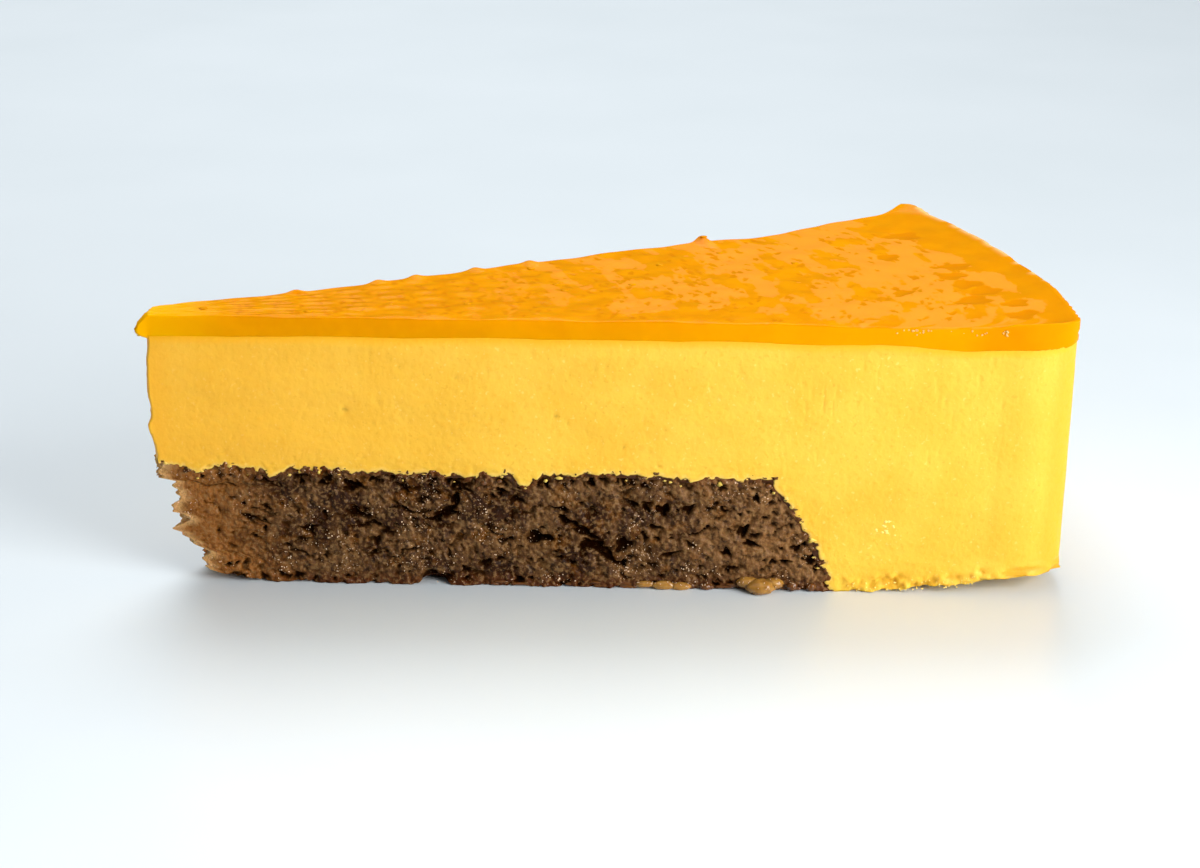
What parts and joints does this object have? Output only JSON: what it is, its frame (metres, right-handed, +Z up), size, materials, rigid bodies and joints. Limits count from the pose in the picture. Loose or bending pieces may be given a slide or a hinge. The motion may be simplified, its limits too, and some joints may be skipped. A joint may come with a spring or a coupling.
{
  "type": "slice of layered banana and mango mousse cake",
  "caption": "Wedge of round cake: moist banana sponge under and inside mango mousse, topped with a glossy mango jelly glaze.",
  "frame": {"origin": "middle of the slice's outer box, on the surface that it stands on", "axes": "+X along the middle of the wedge from its tip to the round outer side, -Y towards the near cut face, +Z up"},
  "size_m": [0.1317, 0.0636, 0.0419],
  "materials": {
    "sponge": "moist open crumb",
    "mousse": "smooth, soft satin",
    "jelly": "clear wet gloss"
  },
  "bodies": {
    "root": {"sponge": "sponge", "mousse": "mousse", "jelly": "jelly"}
  },
  "joints": []
}
